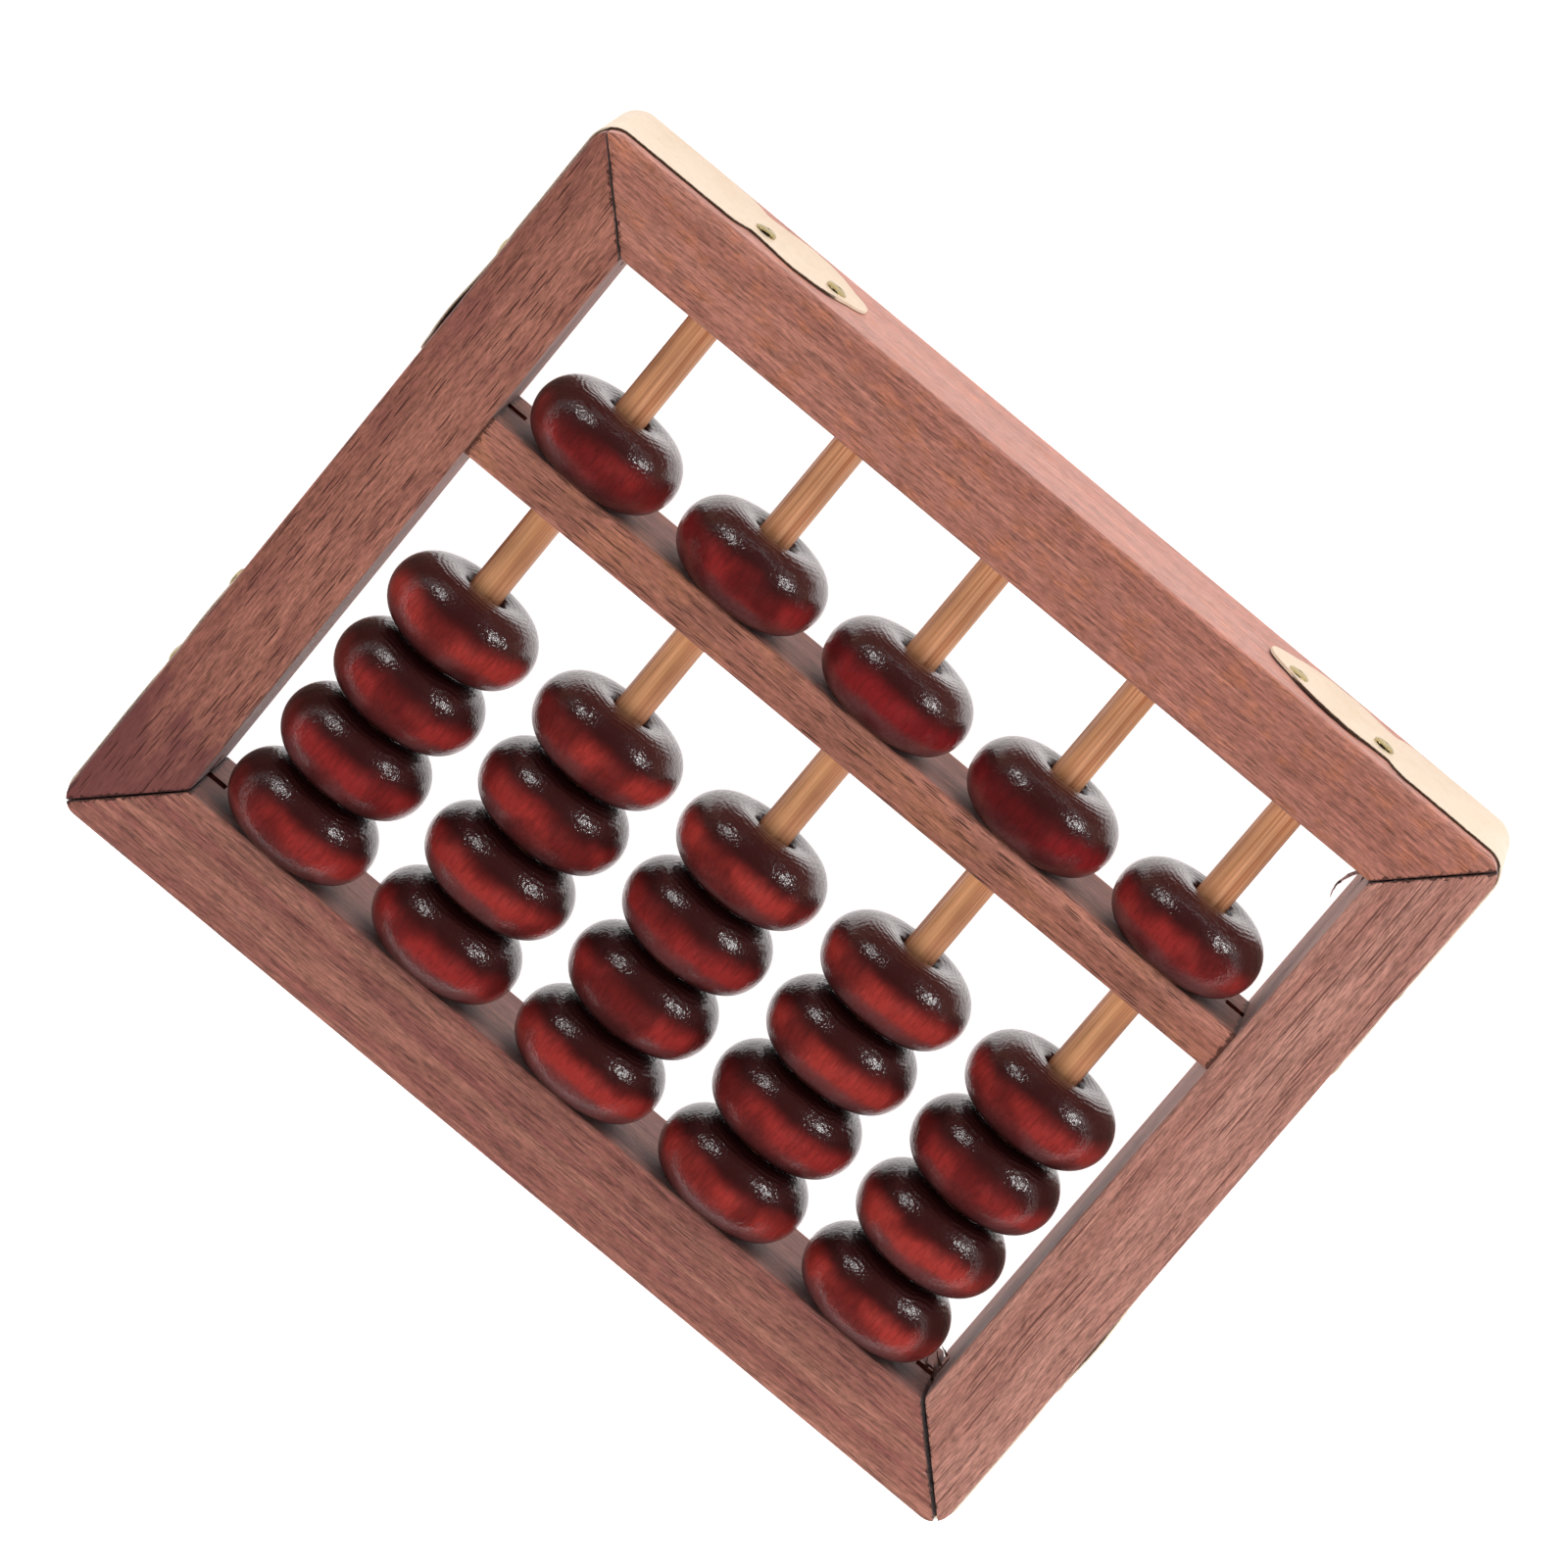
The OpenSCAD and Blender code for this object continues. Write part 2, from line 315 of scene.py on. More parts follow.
def wood(name, along, seed, dark, light, blotch, blotch_amount, pore_tone, pore_amount,
         blotch_size=(9, 3), fleck_size=(6.5, 0.34), sway=1.6, dusk=0.0, dark_ends=0.0):
    """Stained, thinly varnished hardwood with its grain along axis 0 (X) or 1 (Y).

    Sizes are lengths along and across the grain in mm. dusk darkens the left rail's lower end,
    and dark_ends the joints at the beam's ends.
    """
    n = Nodes(name)
    p = n.object_mm()
    shift = (seed * 31.7, seed * 17.3, seed * 7.1)

    def grain(length, width):
        """Coordinates that stretch a pattern to length along the grain and width across it, in mm."""
        scale = [1 / width] * 3
        scale[along] = 1 / length
        return n.stretch(warped, tuple(scale), shift)

    drift = n.noise(n.stretch(p, (0.04, 0.04, 0.04), shift), detail=1)
    bend = n.math("MULTIPLY", n.math("SUBTRACT", drift, 0.5), sway)
    warped = n.stretch(p, (1, 1, 1), n.join(0, bend, 0) if along == 0 else n.join(bend, 0, 0))

    # Growth rings and stained patches
    rings = n.noise(grain(90, 2.6), detail=3, rough=0.55)
    fibre = n.noise(grain(4.5, 0.30), detail=4, rough=0.72)
    fine = n.noise(grain(1.1, 0.16), detail=3, rough=0.7)
    colour = n.mix(n.band(rings, 0.3, 0.7), dark, light)
    patches = n.noise(grain(*blotch_size), detail=3, rough=0.65)
    colour = n.mix(n.math("MULTIPLY", n.band(patches, 0.48, 0.68), blotch_amount), colour, blotch)

    # Dark pores, long and short
    distance, pick = n.dots(grain(*fleck_size))
    long_pore = n.math("MULTIPLY", n.band(distance, 0.32, 0.22), n.band(pick, 0.3, 0.5))
    distance, pick = n.dots(grain(2.2, 0.24))
    short_pore = n.math("MULTIPLY", n.band(distance, 0.34, 0.16), n.band(pick, 0.45, 0.8))
    pores = n.math("MAXIMUM", long_pore, n.math("MULTIPLY", short_pore, 0.5))
    pores = n.math("MULTIPLY", pores, n.band(fine, 0.3, 0.5, 0.4, 1.0))

    # Light and dark fibres
    streak = n.noise(grain(16, 0.42), detail=2, rough=0.6)
    tone = n.math("ADD", n.band(fibre, 0.28, 0.72, 0.70, 1.25), n.band(fine, 0.32, 0.68, -0.26, 0.26))
    tone = n.math("ADD", tone, n.band(streak, 0.3, 0.7, -0.11, 0.09))
    colour = n.mix(1.0, colour, n.join(tone, tone, tone), mode="MULTIPLY")
    x, y, z = n.axes(p)
    if dusk:
        low_end = n.band(n.math("ADD", y, n.band(patches, 0.3, 0.7, -9.0, 9.0)), -22.0, -38.0)
        colour = n.mix(n.math("MULTIPLY", low_end, dusk), colour, (0.135, 0.040, 0.042))
    colour = n.mix(n.math("MULTIPLY", pores, pore_amount), colour, pore_tone)

    # Painted highlight: paler wood along the inner edges of the face
    from_side = n.math("SUBTRACT", n.math("ABSOLUTE", x), IN_X / MM)
    from_top = n.math("SUBTRACT", n.math("ABSOLUTE", y), IN_Y / MM)
    rag = n.noise(grain(3, 0.8), detail=2)
    grit = n.noise(n.stretch(p, (1.5, 1.5, 1.5), shift), detail=4, rough=0.75)
    inwards = n.math("ABSOLUTE", n.math("MAXIMUM", from_side, from_top))
    edge = n.math("ADD", inwards, n.math("SUBTRACT", FACE_Z / MM, z))
    painted_edge_highlight = n.math("MULTIPLY", n.band(edge, 0.6, 0.1), n.band(rag, 0.4, 0.6))
    colour = n.mix(n.math("MULTIPLY", painted_edge_highlight, 0.22), colour, (0.48, 0.28, 0.22))

    # Dark line along each mitre, broken where the top left one is tight
    mitre = n.math("ABSOLUTE", n.math("SUBTRACT", from_side, from_top))
    joint = n.band(n.math("SUBTRACT", mitre, n.band(grit, 0.44, 0.64, 0.0, 0.42)), 0.30, 0.18)
    closed = n.math("MULTIPLY", n.band(x, -40.0, -44.0), n.band(y, 30.0, 34.0))
    tight = n.math("MAXIMUM", n.band(from_side, 7.0, 7.8), n.band(rag, 0.46, 0.6, 0.0, 0.75))
    joint = n.math("MULTIPLY", joint, n.math("SUBTRACT", 1.0, n.math("MULTIPLY", closed, tight)))
    if dark_ends:
        gap = n.math("ADD", from_side, n.band(grit, 0.35, 0.7, 0.0, 0.5))
        joint = n.math("MULTIPLY", n.band(gap, -0.35, -0.1), dark_ends)
    colour = n.mix(n.math("MULTIPLY", joint, 0.85), colour, (0.030, 0.012, 0.010))

    height = n.math("SUBTRACT", n.math("MULTIPLY", fibre, 0.5), n.math("MULTIPLY", pores, 0.9))
    height = n.math("ADD", height, n.math("MULTIPLY", fine, 0.25))
    n.set(Base_Color=colour, Roughness=n.band(fibre, 0.2, 0.8, 0.50, 0.70), Specular_IOR_Level=0.4,
          Sheen_Weight=0.16, Sheen_Roughness=0.35, Normal=n.bump(height, 0.09, 0.9))
    return n.material


def bamboo():
    """Pale split bamboo with its fibres along Y."""
    n = Nodes("bamboo")
    p = n.object_mm()
    fibre = n.noise(n.stretch(p, (2.6, 0.035, 2.6)), detail=3, rough=0.65)
    fine = n.noise(n.stretch(p, (9, 0.12, 9)), detail=2)
    broad = n.noise(n.stretch(p, (0.7, 0.02, 0.7), (3, 1, 7)), detail=1)
    colour = n.mix(n.band(fibre, 0.32, 0.66), (0.50, 0.185, 0.080), (0.80, 0.400, 0.215))
    colour = n.mix(n.band(broad, 0.5, 0.7, 0.0, 0.5), colour, (0.82, 0.41, 0.19))
    tone = n.band(fine, 0.25, 0.75, 0.82, 1.12)
    colour = n.mix(1.0, colour, n.join(tone, tone, tone), mode="MULTIPLY")
    n.set(Base_Color=colour, Roughness=n.band(fine, 0.2, 0.8, 0.34, 0.52), Specular_IOR_Level=0.5,
          Normal=n.bump(n.math("ADD", fibre, n.math("MULTIPLY", fine, 0.4)), 0.12, 0.8))
    return n.material


def lacquer():
    """Dark red lacquer over turned wood: nearly black, with a painted band of red light around the crest,
    shifted towards the lower rail, and a patchy painted grey reflection on the side towards the lower rail.
    """
    n = Nodes("red_lacquer")
    p = n.object_mm()
    x, y, z = n.axes(p)
    tone = n.node("Attribute", attribute_name="tone").outputs["Fac"]
    offset = n.math("MULTIPLY", tone, 40.0)
    radius = n.math("SQRT", n.math("ADD", n.math("MULTIPLY", x, x), n.math("MULTIPLY", z, z)))
    side = n.math("ABSOLUTE", y)

    # Painted light: a red band around the crest, shifted towards the lower rail, and a patchy painted grey
    # reflection on the side towards the lower rail
    streak = n.noise(n.stretch(p, (2.6, 0.5, 2.6), n.join(offset, offset, offset)), detail=3, rough=0.65)
    cloud = n.noise(n.stretch(p, (0.30, 0.30, 0.30), n.join(offset, 0, offset)), detail=2)
    patch = n.noise(n.stretch(p, (0.16, 0.16, 0.16), n.join(0, offset, offset)), detail=1)
    wander = n.math("MULTIPLY", n.math("SUBTRACT", cloud, 0.5), 1.5)
    across = n.math("ADD", n.math("ADD", y, 0.75), wander)
    painted_light_band = n.band(n.math("ABSOLUTE", across), 2.9, 0.3)
    painted_light_band = n.math("MULTIPLY", painted_light_band, n.band(streak, 0.28, 0.68, 0.62, 1.05))
    painted_light_band = n.math("MULTIPLY", painted_light_band, n.band(patch, 0.36, 0.6, 0.42, 1.15))
    red = n.mix(n.band(tone, 0.1, 0.9, smooth=False), (0.21, 0.014, 0.016), (0.36, 0.036, 0.029))
    colour = n.mix(painted_light_band, (0.034, 0.0062, 0.0062), red)
    painted_reflection = n.math("MULTIPLY", n.band(n.math("ADD", y, wander), -1.0, -2.2), n.band(y, -3.9, -3.2))
    painted_reflection = n.math("MULTIPLY", painted_reflection, n.band(patch, 0.42, 0.58, 0.15, 0.85))
    painted_reflection = n.math("MULTIPLY", painted_reflection, n.band(streak, 0.3, 0.7, 0.5, 1.0))
    colour = n.mix(painted_reflection, colour, (0.105, 0.040, 0.040))

    # Turned rings near the bore, and the lacquer's uneven skin
    grit = n.noise(n.stretch(p, (2.8, 2.8, 2.8), n.join(offset, 0, 0)), detail=2, rough=0.6)
    rings = n.math("SINE", n.math("ADD", n.math("MULTIPLY", radius, 11.0), n.math("MULTIPLY", cloud, 16.0)))
    rings = n.math("MULTIPLY", rings, n.band(side, 2.6, 3.6, 0.0, 0.16))
    peel = n.noise(n.stretch(p, (1.1, 1.1, 1.1), n.join(0, offset, 0)), detail=2)
    height = n.math("ADD", n.math("MULTIPLY", grit, 0.8), rings)
    height = n.math("ADD", height, n.math("MULTIPLY", streak, 0.2))
    height = n.math("ADD", height, n.math("MULTIPLY", peel, 0.9))
    normal = n.bump(height, 0.085, 0.9)
    n.set(Base_Color=colour, Roughness=0.45, Specular_IOR_Level=0.15, Normal=normal,
          Coat_Weight=n.band(y, -3.4, -1.2, 0.12, 1.0), Coat_Roughness=0.10, Coat_Normal=normal)
    return n.material


def brass(name, light, dark, roughness):
    """Brushed metal with dull clouds and a few dark spots."""
    n = Nodes(name)
    p = n.object_mm()
    brushed = n.noise(n.stretch(p, (1.5, 1.5, 6)), detail=3, rough=0.6)
    cloud = n.noise(n.stretch(p, (0.25, 0.25, 0.25)), detail=3, rough=0.6)
    speck, pick = n.dots(n.stretch(p, (0.9, 0.9, 0.9)))
    spots = n.math("MULTIPLY", n.band(speck, 0.16, 0.06), n.band(pick, 0.7, 0.8))
    colour = n.mix(n.band(cloud, 0.35, 0.75, 0.0, 0.45), light, dark)
    colour = n.mix(n.math("MULTIPLY", spots, 0.35), colour, (0.28, 0.20, 0.09))
    gloss = n.band(brushed, 0.2, 0.8, roughness - 0.08, roughness + 0.1)
    n.set(Base_Color=colour, Metallic=1.0, Roughness=gloss,
          Normal=n.bump(n.math("ADD", brushed, n.math("MULTIPLY", cloud, 2.0)), 0.05, 0.5))
    return n.material


# ---------------------------------------------------------------- pieces

def bead_object(name, seed):
    """A lathe-turned bead, made slightly uneven inwards from its CAD solid."""
    low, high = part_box(name)
    half_t, half_d = (high.y - low.y) / 2 / MM, (high.x - low.x) / 2 / MM
    crest = half_d - half_t
    rng = np.random.default_rng(seed)

    # Closed profile: an arc from rim to rim of the bore, then the rows along the bore
    start = math.acos((BORE_R - crest) / half_t) - BORE_RIM_ANGLE
    theta = np.linspace(-start, start, BEAD_ALONG)
    ring_y = half_t * np.sin(theta)
    bore_y = ring_y[-1] * np.array(BORE_ROWS)
    bore_rows = len(BORE_ROWS)
    prof_r = np.concatenate([crest + half_t * np.cos(theta), np.full(bore_rows, BORE_R)])
    prof_y = np.concatenate([ring_y, bore_y])
    prof_t = np.concatenate([theta, np.full(bore_rows, math.pi)])

    phi = np.linspace(0, 2 * math.pi, BEAD_AROUND, endpoint=False)
    p, t = np.meshgrid(phi, prof_t)
    dents = DENT * (1 + ripples(rng, (2, 3, 5), 0.2, 1, p, t) / 3)
    grooves = GROOVE * (1 + np.sin(prof_r * GROOVES_PER_MM + rng.uniform(0, 6)))
    grooves = grooves * (np.abs(prof_t) > GROOVES_FROM_ANGLE)
    sink = np.clip(dents + grooves[:, None], 0.0, DEEPEST)
    r = prof_r[:, None] - sink * np.cos(t)
    y = prof_y[:, None] - sink * np.sin(t)
    r[-bore_rows:], y[-bore_rows:] = BORE_R, bore_y[:, None]

    verts = np.stack([r * np.sin(p), y, r * np.cos(p)], -1).reshape(-1, 3) * MM
    obj = new_object("turned_" + name, verts, wrapped_faces(len(prof_r), BEAD_AROUND, True))
    obj.location = (low + high) / 2
    warmth = rng.uniform(0.0, 0.5) if name.startswith("upper") else rng.uniform(0.35, 1.0)
    point_values(obj, "tone", [warmth] * len(verts))
    return obj


def rod_object(name, seed):
    """A split bamboo rod: a round section with slight flats and long ridges, inside its CAD cylinder."""
    low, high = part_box(name)
    centre = (low + high) / 2
    radius = (high.x - low.x) / 2 / MM
    rng = np.random.default_rng(seed)
    phi = np.linspace(0, 2 * math.pi, ROD_AROUND, endpoint=False)
    y = np.linspace(low.y, high.y, ROD_ROWS) / MM - centre.y / MM
    a, yy = np.meshgrid(phi, y)
    r = np.full_like(a, radius)
    for _ in range(ROD_FLATS):
        at, flat = rng.uniform(0, 2 * math.pi), rng.uniform(0.94, 0.985) * radius
        facing = at + rng.uniform(-0.004, 0.004) * yy
        r = np.minimum(r, flat / np.maximum(np.cos(a - facing), 0.2))
    r = r - RIDGE * (1 + ripples(rng, (9, 14, 23), 0.3, 0.01, a, yy) / 3)

    verts = np.stack([r * np.sin(a), yy, r * np.cos(a)], -1).reshape(-1, 3)
    faces = wrapped_faces(ROD_ROWS, ROD_AROUND, False)
    faces.append(tuple(range(ROD_AROUND)))
    faces.append(tuple(reversed(range((ROD_ROWS - 1) * ROD_AROUND, ROD_ROWS * ROD_AROUND))))
    obj = new_object("bamboo_" + name, verts * MM, faces)
    obj.location = centre
    mark_sharp(obj, 50)
    return obj


def on_corner(corner):
    """Places things drawn about the top right outer corner, with arm 0 along -X and arm 1 along -Y."""
    side_x = 1 if corner in (0, 3) else -1
    side_y = 1 if corner < 2 else -1
    turned = Matrix.Rotation(math.radians(90 * corner), 4, "Z")
    return Matrix.Translation((side_x * OUT_X, side_y * OUT_Y, 0)) @ turned


def arm_half(u, shift):
    """Half width of an arm at distance u. shift moves its waist along the arm."""
    w = u - shift * np.clip((u - 8) / 8, 0, 1) * np.clip((TIP_AT - u) / 10, 0, 1)
    slope = BEND_HALF + (SHOULDER_HALF - BEND_HALF) * (w - BEND_R) / (SHOULDER_AT - BEND_R)
    turn = np.sqrt(np.clip(SHOULDER_R**2 - (w - SHOULDER_AT) ** 2, 0, None))
    root = np.where(w < SHOULDER_AT, slope, np.where(turn > 0, SHOULDER_HALF - SHOULDER_R + turn, 0))
    neck = np.where((w > SHOULDER_AT) & (w < LEAF_AT), NECK_HALF, 0)
    leaf = np.sqrt(np.clip(LEAF_R**2 - (w - LEAF_AT) ** 2, 0, None))
    lobe = np.sqrt(np.clip(LOBE_R**2 - (u - TIP_AT + LOBE_R) ** 2, 0, None))
    parts = np.stack([root, neck, leaf, lobe])
    return np.minimum((parts**BLEND_POWER).sum(0) ** (1 / BLEND_POWER), BEND_HALF)


def strap_path():
    """Rows from tip to tip round a corner: place and outward direction in X and Y, distance u, and arm."""
    even = np.linspace(0, 1, ARM_ROWS)
    us = TIP_AT - (TIP_AT - BEND_R) * (even**1.35 * 0.5 + even * 0.5)
    rows = [(-u, 0.0, 0.0, 1.0, u, 0) for u in us]
    for a in np.linspace(0, math.pi / 2, BEND_ROWS)[1:-1]:
        x, y = math.sin(a), math.cos(a)
        rows.append((-BEND_R + BEND_R * x, -BEND_R + BEND_R * y, x, y, BEND_R, 0 if a < math.pi / 4 else 1))
    rows += [(0.0, -u, 1.0, 0.0, u, 1) for u in us[::-1]]
    return np.array(rows)


def strap_object(name, corner, seed, shifts, nail_shifts, lifts):
    """One brass strap as a bent sheet, with the shifts and lifts of its two arms."""
    rng = np.random.default_rng(seed)
    px, py, nx, ny, u, arm = (column[:, None] for column in strap_path().T)
    half = np.where(arm == 0, arm_half(u, shifts[0]), arm_half(u, shifts[1]))
    half = np.maximum(half, 0.05)

    # Columns are closer together near the edges
    spread = math.pi / 2 * 0.92
    w = np.sin(np.linspace(-1, 1, STRAP_COLS) * spread) / math.sin(spread)
    nick = EDGE_NICK * (np.sin(u * 1.7 + rng.uniform(0, 6)) + np.sin(u * 3.1 + rng.uniform(0, 6)))
    z = w * (half + nick * (u > 3) * (half > 1))

    # Height of the sheet over the wood
    lift = np.where(arm == 0, lifts[0], lifts[1]) * np.clip((u - 16) / 9, 0, 1) ** 1.5
    long_wave = np.sin(u * 0.55 + z * 0.35 + rng.uniform(0, 6))
    cross_wave = np.sin(u * 0.21 - z * 0.5 + rng.uniform(0, 6))
    wave = FACE_WAVE * (long_wave + cross_wave)
    out = lift * (0.75 + 0.25 * w) + wave * np.clip((u - 4) / 6, 0, 1)
    for at in NAILS_AT:
        for side in (0, 1):
            nail_at = at + nail_shifts[side] * (at < LEAF_AT)
            d2 = (u - nail_at) ** 2 + (z - NAIL_RISE_MM) ** 2
            out = out * (1 - np.exp(-d2 / NAIL_PRESS_R**2) * (arm == side))
    out = np.clip(out, 0.0, None)

    def skin(height):
        return np.stack([px + nx * height, py + ny * height, z + STRAP_Z / MM], -1).reshape(-1, 3)

    sides, rim = sheet_faces(len(u), STRAP_COLS)
    verts = np.concatenate([skin(out + SHEET), skin(out)])
    obj = new_object("bent_" + name, verts * MM, sides + rim)
    obj.data.transform(on_corner(corner))
    obj.data.polygons.foreach_set("material_index", [0] * len(sides) + [1] * len(rim))

    # Painted highlight on parts of the cut edge, at its inner and outer side, and painted shade on the rest:
    # on the top rail only near the tip
    level = arm == corner % 2
    if corner < 2:
        inner_side = level * np.clip((u - 27.6) / 2.4, 0, 1)
        outer_side = np.maximum(inner_side, np.where(level, 0.5, 1.0))
    else:
        inner_side = np.where(level | (u < 3.2), 1.0, 0.0)
        outer_side = np.ones_like(u)
    brightness = [np.repeat(outer_side, STRAP_COLS), np.repeat(inner_side, STRAP_COLS)]
    point_values(obj, "outward", np.concatenate(brightness))
    mark_sharp(obj, 40)
    return obj


def brass_rim():
    """The cut edge of a strap: painted shade where it meets the wood, a painted highlight at the outside."""
    n = Nodes("strap_rim")
    outward = n.node("Attribute", attribute_name="outward").outputs["Fac"]
    grit = n.noise(n.stretch(n.object_mm(), (2.5, 2.5, 2.5)), detail=3, rough=0.7)
    highlight_not_shade = n.band(n.math("ADD", outward, n.band(grit, 0.3, 0.7, -0.07, 0.07)), 0.30, 0.62)
    n.set(Base_Color=n.mix(highlight_not_shade, (0.060, 0.036, 0.022), (0.86, 0.74, 0.56)), Roughness=0.5,
          Normal=n.bump(grit, 0.05, 0.5))
    return n.material


def nail_points(at, lean, seed):
    """Rings of one nail head from foot to top: distance along the arm, height and place across, in mm."""
    points = []
    for i in range(NAIL_ROWS):
        a = i / (NAIL_ROWS - 1) * math.pi / 2
        for j in range(NAIL_AROUND):
            b = 2 * math.pi * j / NAIL_AROUND
            ring = NAIL_R * math.cos(a) ** 0.8 * (1 + 0.02 * math.sin(3 * b + at))
            if i == NAIL_ROWS - 1:
                ring = NAIL_TOP_R
            s, z = ring * math.cos(b), ring * math.sin(b)
            dome = NAIL_H * math.sin(a) * (1 - 0.08 * math.sin(2 * b + seed))
            up = dome + NAIL_GAP + lean[0] * s + lean[1] * z * 0.5
            points.append((at + s, SHEET + (max(up, 0.0) if i else NAIL_FOOT), NAIL_Z / MM + z))
    return points


def nails_object(name, corner, seed, nail_shifts):
    """The four domed nails of one corner, each leaning slightly. The waist's nail moves with the waist."""
    rng = np.random.default_rng(seed)
    place = on_corner(corner)
    shell = wrapped_faces(NAIL_ROWS, NAIL_AROUND, False)
    shell.append(tuple(range((NAIL_ROWS - 1) * NAIL_AROUND, NAIL_ROWS * NAIL_AROUND)))
    shell.append(tuple(reversed(range(NAIL_AROUND))))
    verts, faces = [], []
    for arm in (0, 1):
        for at in NAILS_AT:
            lean = rng.uniform(-0.1, 0.1, 2)
            base = len(verts)
            for u, up, z in nail_points(at + nail_shifts[arm] * (at < LEAF_AT), lean, seed):
                point = (-u, up, z) if arm == 0 else (up, -u, z)
                verts.append(place @ (Vector(point) * MM))
            for face in shell:
                facing_out = face if arm == 0 else face[::-1]
                faces.append(tuple(base + k for k in facing_out))
    obj = new_object("domed_" + name, verts, faces)
    mark_sharp(obj, 60)
    return obj


def splinter_object(name, root, bend, tip, width, seed):
    """A torn wood fibre, in mm: a thin ragged strip along a curve, tapering from its root to its tip."""
    rng = np.random.default_rng(seed)
    root, bend, tip = Vector(root), Vector(bend), Vector(tip)
    verts, count = [], 16
    for i in range(count):
        t = i / (count - 1)
        middle = root * (1 - t) ** 2 + bend * 2 * t * (1 - t) + tip * t**2
        way = ((bend - root) * (1 - t) + (tip - bend) * t).normalized()
        side = way.cross(Vector((0, 0, 1))).normalized()
        half = width / 2 * (1 - t) ** 0.7 * rng.uniform(0.75, 1.1) + 0.015
        middle += side * rng.uniform(-0.03, 0.03)
        for across, up in ((-half, 0), (half, 0), (half * 0.8, 0.09), (-half * 0.8, 0.09)):
            verts.append((middle + side * across + Vector((0, 0, up))) * MM)
    faces = wrapped_faces(count, 4, False)
    faces += [(3, 2, 1, 0), tuple((count - 1) * 4 + j for j in range(4))]
    return new_object(name, verts, faces, smooth=False)


# ---------------------------------------------------------------- the object

def frame_woods():
    """The wood material of each CAD node that is shown as it is."""
    looks = {
        # The left rail's darker colours and the right rail's lighter ones are partly the woods' own tone and
        # partly painted shade and painted light, for a key light from the right
        "rail_left": wood(
            "wood_left", 1, 1, dark=(0.235, 0.086, 0.062), light=(0.35, 0.140, 0.100),
            blotch=(0.20, 0.066, 0.058), blotch_amount=0.5, pore_tone=(0.060, 0.018, 0.014),
            pore_amount=0.85, fleck_size=(5, 0.27), sway=0.9, dusk=0.75),
        "rail_right": wood(
            "wood_right", 1, 2, dark=(0.365, 0.160, 0.124), light=(0.455, 0.220, 0.172),
            blotch=(0.315, 0.128, 0.104), blotch_amount=0.35, pore_tone=(0.12, 0.040, 0.030),
            pore_amount=0.75, fleck_size=(12, 0.3), sway=0.6),
        "rail_top": wood(
            "wood_top", 0, 3, dark=(0.345, 0.134, 0.100), light=(0.410, 0.173, 0.127),
            blotch=(0.44, 0.155, 0.080), blotch_amount=0.55, pore_tone=(0.17, 0.06, 0.05),
            pore_amount=0.35, fleck_size=(3, 0.34), sway=0.8, blotch_size=(3.2, 1.7)),
        "rail_bottom": wood(
            "wood_bottom", 0, 4, dark=(0.265, 0.098, 0.078), light=(0.390, 0.168, 0.122),
            blotch=(0.25, 0.080, 0.074), blotch_amount=0.6, pore_tone=(0.11, 0.036, 0.032),
            pore_amount=0.45, fleck_size=(5, 0.22), sway=1.0, blotch_size=(24, 0.9)),
        "beam": wood(
            "wood_beam", 0, 5, dark=(0.30, 0.112, 0.078), light=(0.46, 0.192, 0.140),
            blotch=(0.44, 0.180, 0.095), blotch_amount=0.5, pore_tone=(0.065, 0.020, 0.015),
            pore_amount=0.9, fleck_size=(4.5, 0.2), sway=0.8, dark_ends=0.9),
    }
    spline = wood(
        "wood_spline", 0, 6, dark=(0.20, 0.08, 0.05), light=(0.30, 0.13, 0.09),
        blotch=(0.3, 0.12, 0.08), blotch_amount=0.3, pore_tone=(0.08, 0.03, 0.02), pore_amount=0.5)
    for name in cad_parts:
        if name.startswith(("mitre_spline_", "beam_tongue_")):
            looks[name] = spline
    return looks


def add_splinters():
    torn = wood(
        "wood_torn", 0, 7, dark=(0.36, 0.20, 0.17), light=(0.62, 0.42, 0.36),
        blotch=(0.24, 0.11, 0.10), blotch_amount=0.4, pore_tone=(0.2, 0.08, 0.06), pore_amount=0.2)
    curled = wood(
        "wood_curled", 0, 8, dark=(0.17, 0.085, 0.075), light=(0.26, 0.14, 0.13),
        blotch=(0.12, 0.06, 0.055), blotch_amount=0.5, pore_tone=(0.07, 0.03, 0.03), pore_amount=0.5)
    for k, (root, bend, tip, width) in enumerate(SPLINTERS):
        fibre = splinter_object(f"splinter_{k}", root, bend, tip, width, 400 + k)
        piece(fibre, FRAME_BODY, "rail_wood", curled if k == 0 else torn)


def add_rods_and_beads():
    red, cane = lacquer(), bamboo()
    for r in range(1, ROD_COUNT + 1):
        piece(rod_object(f"rod_{r}", 100 + r), FRAME_BODY, "bamboo", cane, f"rod_{r}")
        names = [f"upper_bead_{r}"] + [f"lower_bead_{r}_{k}" for k in range(1, LOWER_COUNT + 1)]
        for k, name in enumerate(names):
            piece(bead_object(name, 10 * r + k), name, "bead_lacquer", red, name)


def add_brass():
    sheet = brass("strap_sheet", (0.62, 0.49, 0.365), (0.56, 0.42, 0.26), 0.40)
    rim = brass_rim()
    head = brass("nail_head", (0.34, 0.26, 0.12), (0.12, 0.085, 0.03), 0.25)
    for c, corner in enumerate(CORNERS):
        strap = strap_object("strap_" + corner, c, 200 + c, WAIST_SHIFTS[corner], NAIL_SHIFTS[corner],
                             LEAF_LIFTS[corner])
        piece(strap, FRAME_BODY, "strap_brass", [sheet, rim], "strap_" + corner)
        nails = nails_object("nails_" + corner, c, 300 + c, NAIL_SHIFTS[corner])
        piece(nails, FRAME_BODY, "nail_brass", head, "nails_" + corner)


def build():
    for name, material in frame_woods().items():
        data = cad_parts[name].data
        data.materials.clear()
        data.materials.append(material)
    add_splinters()
    add_rods_and_beads()
    add_brass()


# ---------------------------------------------------------------- stage

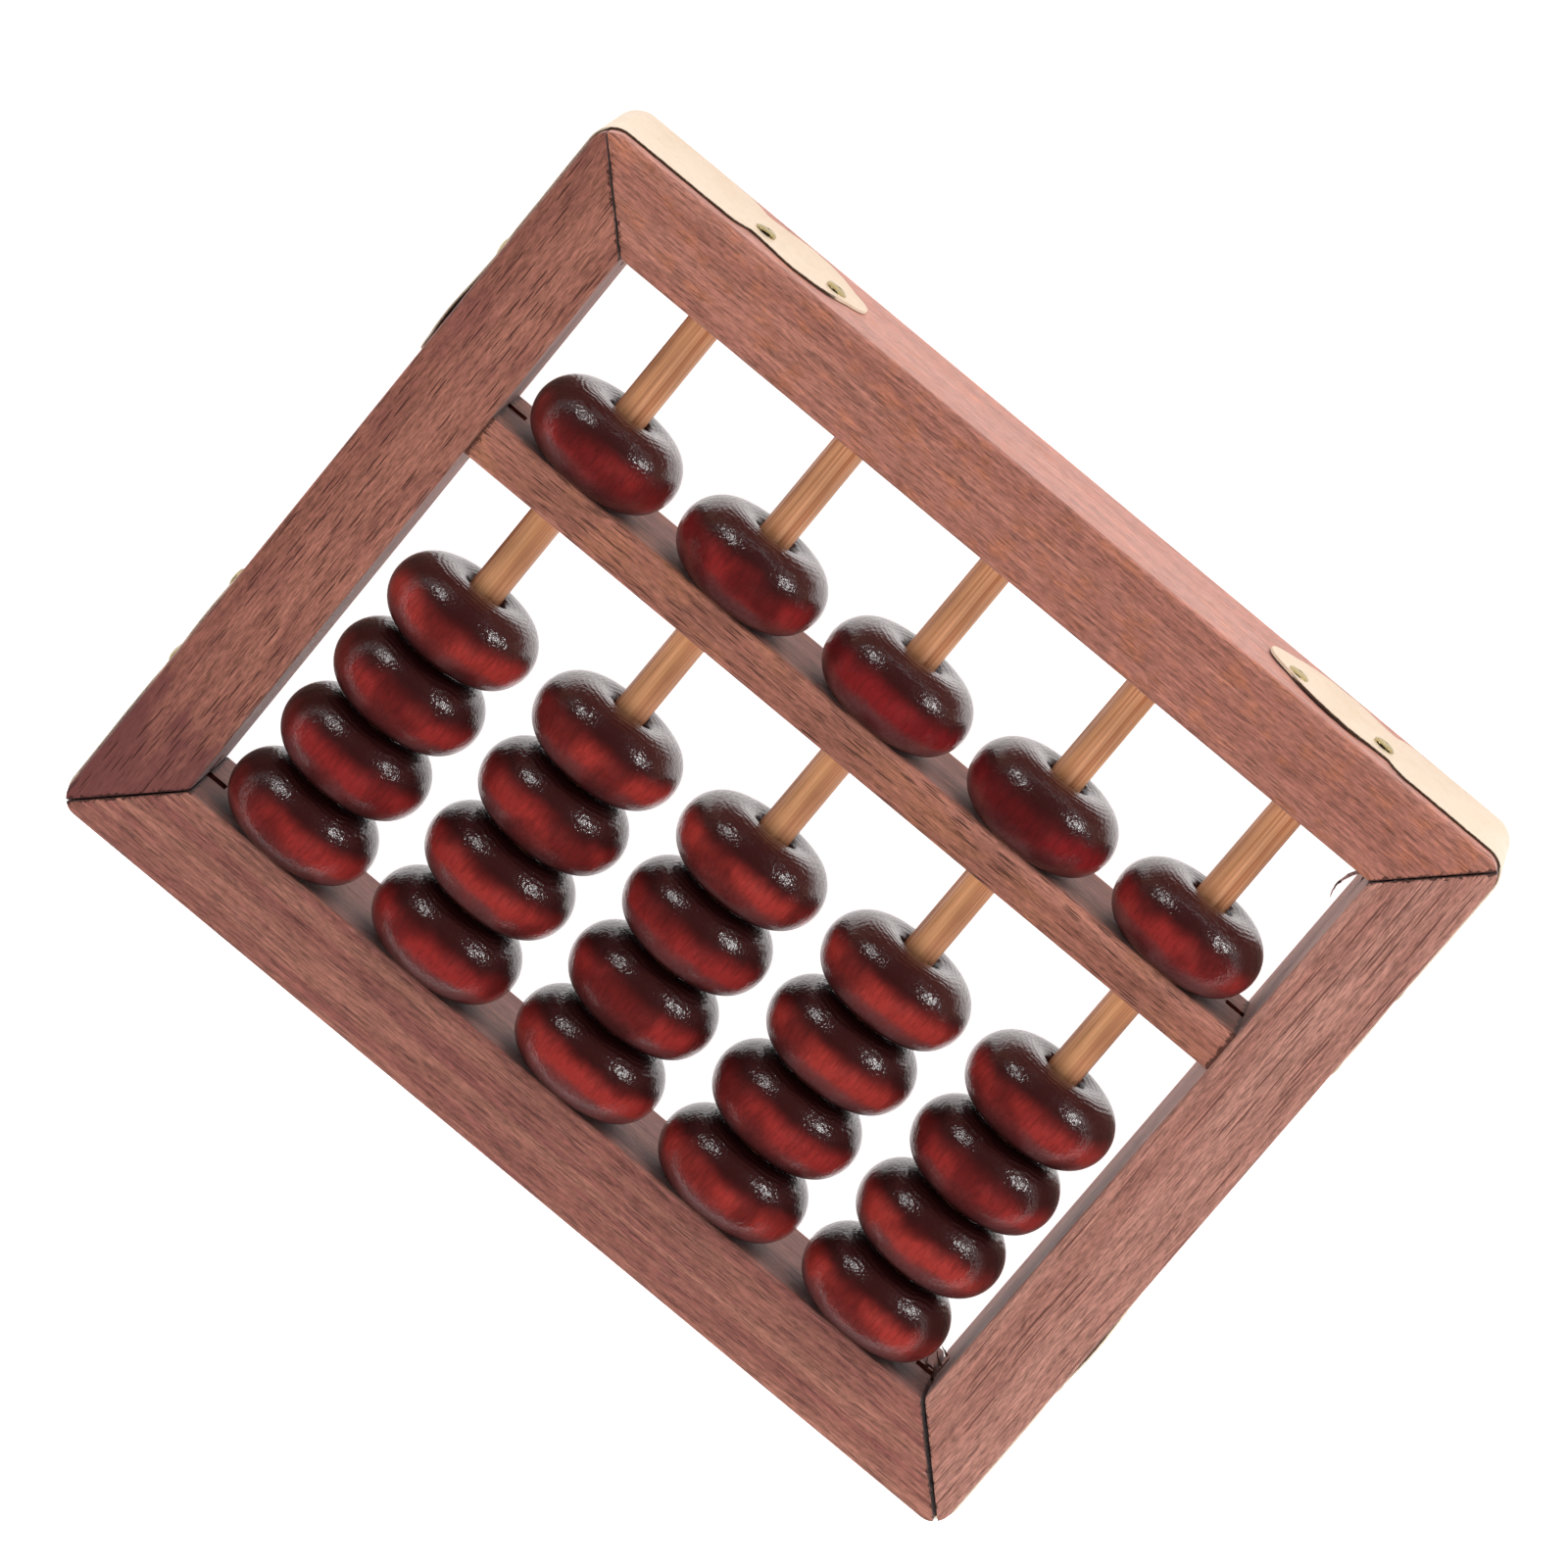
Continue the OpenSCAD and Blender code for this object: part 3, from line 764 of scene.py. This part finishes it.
def floor():
    """A large white floor, just under the object."""
    half, gap = 3.0, 0.0001
    corners = [(-half, -half, 0), (half, -half, 0), (half, half, 0), (-half, half, 0)]
    obj = new_object("floor", corners, [(0, 1, 2, 3)])
    obj.location.z = CAD_BOX[0].z - gap
    n = Nodes("floor")
    n.set(Base_Color=(0.7, 0.7, 0.7, 1), Roughness=0.9, Specular_IOR_Level=0.1,
          Emission_Color=(1, 1, 1, 1), Emission_Strength=1.0)
    obj.data.materials.append(n.material)


def area_light(name, direction, distance, size, power, target, in_gloss=True):
    """A rectangular light, distance metres from target and facing it."""
    data = bpy.data.lights.new(name, "AREA")
    data.shape = "RECTANGLE"
    data.size, data.size_y = size
    data.energy = power
    obj = bpy.data.objects.new(name, data)
    bpy.context.scene.collection.objects.link(obj)
    way = Vector(direction).normalized()
    obj.location = Vector(target) + way * distance
    obj.rotation_euler = (-way).to_track_quat("-Z", "Y").to_euler()
    obj.visible_glossy = in_gloss


def studio():
    floor()
    middle = (CAD_BOX[0] + CAD_BOX[1]) / 2
    area_light("box_right", (0.66, 0.70, 0.26), 0.9, (0.20, 0.12), 2.0, middle)
    area_light("box_left", (-0.66, 0.70, 0.26), 0.9, (0.20, 0.12), 1.4, middle)
    area_light("soft_key", (0.40, -0.10, 0.70), 0.8, (0.5, 0.5), 4.2, middle, in_gloss=False)
    area_light("soft_left", (-0.90, 0.0, 0.45), 0.8, (0.5, 0.4), 1.8, middle, in_gloss=False)
    area_light("soft_near", (-0.15, -0.9, 0.5), 0.9, (0.9, 0.4), 3.8, middle, in_gloss=False)
    area_light("soft_far", (0.1, 1.0, 0.28), 0.9, (0.9, 0.3), 5.0, middle, in_gloss=False)

    # White below the horizon, fading to a dim sky above it
    world = bpy.data.worlds.new("studio")
    bpy.context.scene.world = world
    world.use_nodes = True
    nodes, links = world.node_tree.nodes, world.node_tree.links
    sky = nodes["Background"]
    up = nodes.new("ShaderNodeSeparateXYZ")
    links.new(nodes.new("ShaderNodeTexCoord").outputs["Generated"], up.inputs[0])
    fade = nodes.new("ShaderNodeMapRange")
    for key, value in (("From Min", 0.02), ("From Max", 0.25), ("To Min", 1.0), ("To Max", 0.12)):
        fade.inputs[key].default_value = value
    links.new(up.outputs[2], fade.inputs["Value"])
    links.new(fade.outputs["Result"], sky.inputs["Strength"])


def camera():
    data = bpy.data.cameras.new("camera")
    data.lens, data.sensor_width = CAMERA_LENS, CAMERA_SENSOR
    data.clip_start, data.clip_end = 0.05, 20.0
    obj = bpy.data.objects.new("camera", data)
    bpy.context.scene.collection.objects.link(obj)
    yaw = Matrix.Rotation(math.radians(CAMERA_YAW), 3, "Y")
    tilt = Matrix.Rotation(math.radians(CAMERA_TILT), 3, "X")
    roll = Matrix.Rotation(math.radians(CAMERA_ROLL), 3, "Z")
    turn = roll @ tilt @ yaw
    obj.location = CAMERA_PLACE
    obj.rotation_euler = turn.transposed().to_euler()
    bpy.context.scene.camera = obj
    bpy.context.scene.view_settings.view_transform = "Standard"


build()
studio()
camera()
